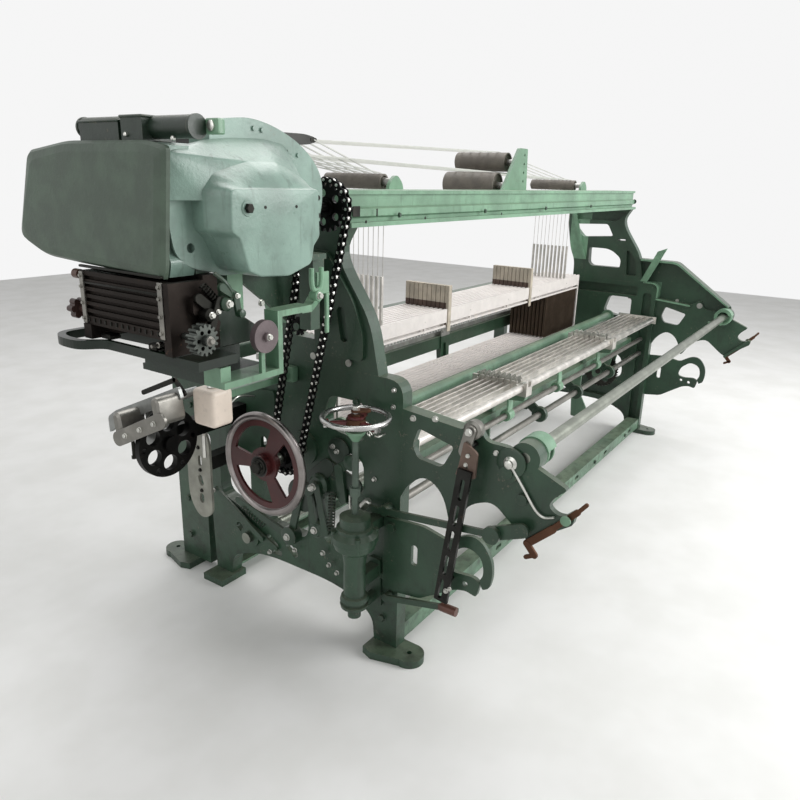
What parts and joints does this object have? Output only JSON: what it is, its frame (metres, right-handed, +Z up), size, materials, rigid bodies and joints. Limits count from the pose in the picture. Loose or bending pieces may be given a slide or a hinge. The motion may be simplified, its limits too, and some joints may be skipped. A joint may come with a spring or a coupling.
{
  "type": "power loom",
  "caption": "Cast-frame power loom with a dobby, chain drive, heald frames, warp stop motion, hand wheels and rear brackets for a warp beam.",
  "frame": {"origin": "centre of the rectangle of the four outer floor bolt holes, on the floor", "axes": "+X along the loom, away from the dobby; +Y towards the weaver's side with the breast beam; +Z up"},
  "size_m": [3.784, 1.805, 1.75],
  "materials": {
    "green_paint": "satin",
    "pale_green_paint": "satin",
    "bright_steel": "satin",
    "heald_aluminium": "satin",
    "dark_steel": "rough",
    "wheel_chrome": "polished",
    "red_paint": "satin",
    "black_plastic": "matte",
    "white_plastic": "matte",
    "cable_white": "matte",
    "drum_brown": "matte",
    "knob_brown": "glossy"
  },
  "bodies": {
    "loom": {"left_side_frame": "green_paint", "right_side_frame": "green_paint", "left_arch": "green_paint", "right_arch": "green_paint", "top_beam": "pale_green_paint", "floor_channels": "pale_green_paint", "back_rail": "pale_green_paint", "breast_beam": "green_paint", "stop_stand": "pale_green_paint", "stop_bars": "bright_steel", "stop_combs": "bright_steel", "left_rear_bracket": "green_paint", "right_rear_bracket": "green_paint", "right_casing": "green_paint", "beam_hooks": "green_paint", "letoff_levers": "green_paint", "slotted_bar": "dark_steel", "chain": "dark_steel", "dobby_case": "green_paint", "dobby_cover": "pale_green_paint", "dobby_hood": "green_paint", "dobby_top_boxes": "dark_steel", "jack_levers": "dark_steel", "dobby_bracket": "pale_green_paint", "dobby_stand": "green_paint", "reader_box": "dark_steel", "harness_cables": "cable_white", "drum_brackets": "pale_green_paint", "rapier_stand": "green_paint", "oil_tank": "white_plastic", "letoff_gearbox": "green_paint"},
    "drive": {"hand_wheel": "wheel_chrome", "main_shaft": "bright_steel", "drive_sprocket": "dark_steel"},
    "dobby_wheel": {"dobby_sprocket": "dark_steel"},
    "idler": {"idler_sprocket": "dark_steel"},
    "back_rest": {"whip_roller": "bright_steel"},
    "take_up": {"take_up_roller": "dark_steel"},
    "ratchet": {"ratchet_wheel": "dark_steel"},
    "sley_unit": {"sley": "green_paint", "rocking_shaft": "bright_steel"},
    "left_cord_drum": {"left_drum": "drum_brown"},
    "centre_cord_drum": {"centre_drum": "drum_brown"},
    "upper_cord_drum": {"upper_drum": "drum_brown"},
    "right_cord_drum": {"right_drum": "drum_brown"},
    "rapier": {"rapier_wheel": "black_plastic"},
    "letoff": {"letoff_wheel": "red_paint"},
    "pattern_knob": {"reader_knob": "knob_brown"},
    "pattern_handle": {"reader_handle": "knob_brown"},
    "pattern_gear": {"card_gear": "dark_steel"},
    "heald_1_frame": {"heald_1": "heald_aluminium"},
    "heald_2_frame": {"heald_2": "heald_aluminium"},
    "heald_3_frame": {"heald_3": "heald_aluminium"},
    "heald_4_frame": {"heald_4": "heald_aluminium"},
    "heald_5_frame": {"heald_5": "heald_aluminium"},
    "heald_6_frame": {"heald_6": "heald_aluminium"},
    "heald_7_frame": {"heald_7": "heald_aluminium"},
    "heald_8_frame": {"heald_8": "heald_aluminium"},
    "heald_9_frame": {"heald_9": "heald_aluminium"},
    "heald_10_frame": {"heald_10": "heald_aluminium"}
  },
  "joints": [
    {"name": "main_spin", "type": "hinge", "parent": "loom", "child": "drive", "pos_m": [-1.66, -0.15, 0.685], "axis": [1, 0, 0], "continuous": true},
    {"name": "dobby_spin", "type": "hinge", "parent": "loom", "child": "dobby_wheel", "pos_m": [-1.56, -0.34, 1.512], "axis": [1, 0, 0], "continuous": true},
    {"name": "idler_spin", "type": "hinge", "parent": "loom", "child": "idler", "pos_m": [-1.56, -0.22203, 1.144], "axis": [1, 0, 0], "continuous": true},
    {"name": "back_rest_spin", "type": "hinge", "parent": "loom", "child": "back_rest", "pos_m": [0, -0.98, 0.852], "axis": [1, 0, 0], "continuous": true},
    {"name": "take_up_spin", "type": "hinge", "parent": "loom", "child": "take_up", "pos_m": [0, 0.45, 0.72], "axis": [1, 0, 0], "continuous": true},
    {"name": "ratchet_spin", "type": "hinge", "parent": "loom", "child": "ratchet", "pos_m": [1.105, -0.36, 0.473], "axis": [1, 0, 0], "continuous": true},
    {"name": "sley_swing", "type": "hinge", "parent": "loom", "child": "sley_unit", "pos_m": [0, 0.14, 0.24], "axis": [1, 0, 0], "range_deg": [-10, 0]},
    {"name": "left_drum_spin", "type": "hinge", "parent": "loom", "child": "left_cord_drum", "pos_m": [-0.9833, 0, 1.585], "axis": [0, 1, 0], "continuous": true},
    {"name": "centre_drum_spin", "type": "hinge", "parent": "loom", "child": "centre_cord_drum", "pos_m": [-0.06, 0, 1.58], "axis": [0, 1, 0], "continuous": true},
    {"name": "upper_drum_spin", "type": "hinge", "parent": "loom", "child": "upper_cord_drum", "pos_m": [0.035, 0, 1.6853], "axis": [0, 1, 0], "continuous": true},
    {"name": "right_drum_spin", "type": "hinge", "parent": "loom", "child": "right_cord_drum", "pos_m": [0.9437, 0, 1.585], "axis": [0, 1, 0], "continuous": true},
    {"name": "rapier_spin", "type": "hinge", "parent": "loom", "child": "rapier", "pos_m": [-1.854, 0.091, 0.764], "axis": [0, 1, 0], "continuous": true},
    {"name": "letoff_spin", "type": "hinge", "parent": "loom", "child": "letoff", "pos_m": [-1.59, -0.475, 0.7], "axis": [0, 0, 1], "continuous": true},
    {"name": "pattern_knob_spin", "type": "hinge", "parent": "loom", "child": "pattern_knob", "pos_m": [-2.19, -0.08, 1.352], "axis": [0, 1, 0], "continuous": true},
    {"name": "pattern_handle_spin", "type": "hinge", "parent": "loom", "child": "pattern_handle", "pos_m": [-2.182, -0.08, 1.262], "axis": [0, 1, 0], "continuous": true},
    {"name": "pattern_gear_spin", "type": "hinge", "parent": "loom", "child": "pattern_gear", "pos_m": [-2.176, -0.495, 1.246], "axis": [0, 1, 0], "continuous": true},
    {"name": "heald_1_lift", "type": "slide", "parent": "loom", "child": "heald_1_frame", "axis": [0, 0, 1], "range_m": [0, 0.09]},
    {"name": "heald_2_lift", "type": "slide", "parent": "loom", "child": "heald_2_frame", "axis": [0, 0, 1], "range_m": [0, 0.09]},
    {"name": "heald_3_lift", "type": "slide", "parent": "loom", "child": "heald_3_frame", "axis": [0, 0, 1], "range_m": [0, 0.09]},
    {"name": "heald_4_lift", "type": "slide", "parent": "loom", "child": "heald_4_frame", "axis": [0, 0, 1], "range_m": [0, 0.09]},
    {"name": "heald_5_lift", "type": "slide", "parent": "loom", "child": "heald_5_frame", "axis": [0, 0, 1], "range_m": [0, 0.09]},
    {"name": "heald_6_lift", "type": "slide", "parent": "loom", "child": "heald_6_frame", "axis": [0, 0, 1], "range_m": [0, 0.09]},
    {"name": "heald_7_lift", "type": "slide", "parent": "loom", "child": "heald_7_frame", "axis": [0, 0, 1], "range_m": [0, 0.09]},
    {"name": "heald_8_lift", "type": "slide", "parent": "loom", "child": "heald_8_frame", "axis": [0, 0, 1], "range_m": [0, 0.09]},
    {"name": "heald_9_lift", "type": "slide", "parent": "loom", "child": "heald_9_frame", "axis": [0, 0, 1], "range_m": [0, 0.09]},
    {"name": "heald_10_lift", "type": "slide", "parent": "loom", "child": "heald_10_frame", "axis": [0, 0, 1], "range_m": [0, 0.09]}
  ],
  "couplings": [
    {"joint": "dobby_spin", "follows": "main_spin", "ratio": 0.78947},
    {"joint": "idler_spin", "follows": "main_spin", "ratio": 1.6667}
  ]
}
